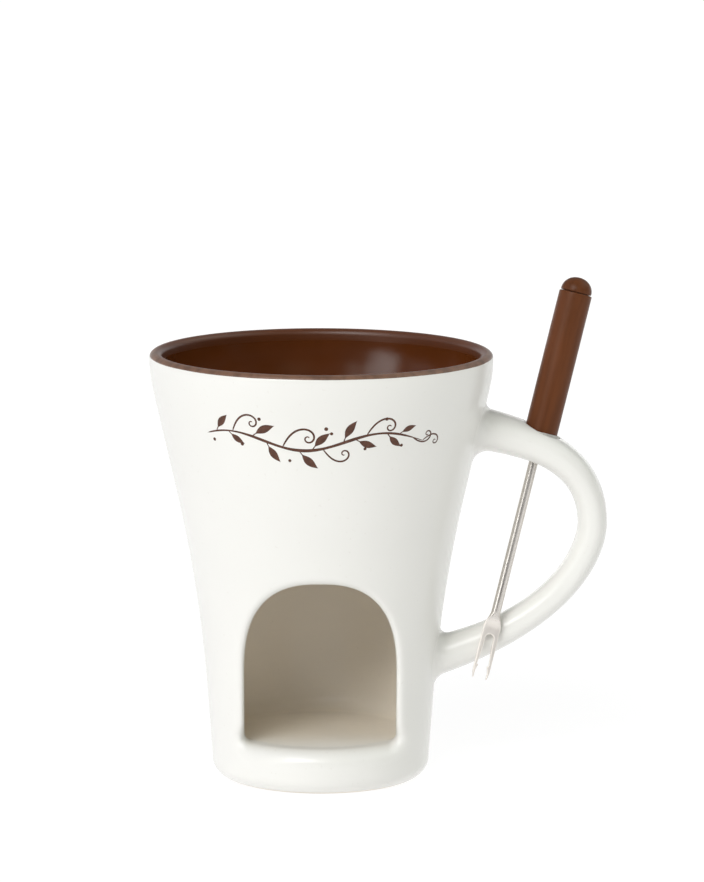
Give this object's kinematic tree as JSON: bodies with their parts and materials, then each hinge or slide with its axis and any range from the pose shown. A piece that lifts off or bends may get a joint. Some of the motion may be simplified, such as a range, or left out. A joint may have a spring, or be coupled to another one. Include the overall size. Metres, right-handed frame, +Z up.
{
  "type": "chocolate fondue mug with fork",
  "caption": "Flared mug with a bowl above a tealight chamber with an arched opening, a loop handle, and a two-tine fork that hangs in a hole through the handle and lifts out.",
  "frame": {"origin": "centre of the foot's underside, on the surface that the mug stands on", "axes": "+Z up; -Y out of the arched opening; +X towards the handle"},
  "size_m": [0.1469, 0.11, 0.1612],
  "materials": {
    "white_stoneware": "warm white satin-gloss glaze",
    "brown_glaze": "glossy dark brown glaze",
    "fork_steel": "polished stainless steel",
    "brown_grip": "satin brown moulded plastic"
  },
  "bodies": {
    "mug": {"mug_body": "white_stoneware", "mug_handle": "white_stoneware", "bowl_glaze": "brown_glaze"},
    "fork": {"fork_shaft": "fork_steel", "fork_grip": "brown_grip", "grip_cap": "brown_grip"}
  },
  "joints": [
    {"name": "fork_lift", "type": "slide", "parent": "mug", "child": "fork", "axis": [0.2396, 0.1392, 0.9609], "range_m": [0, 0.09]}
  ]
}
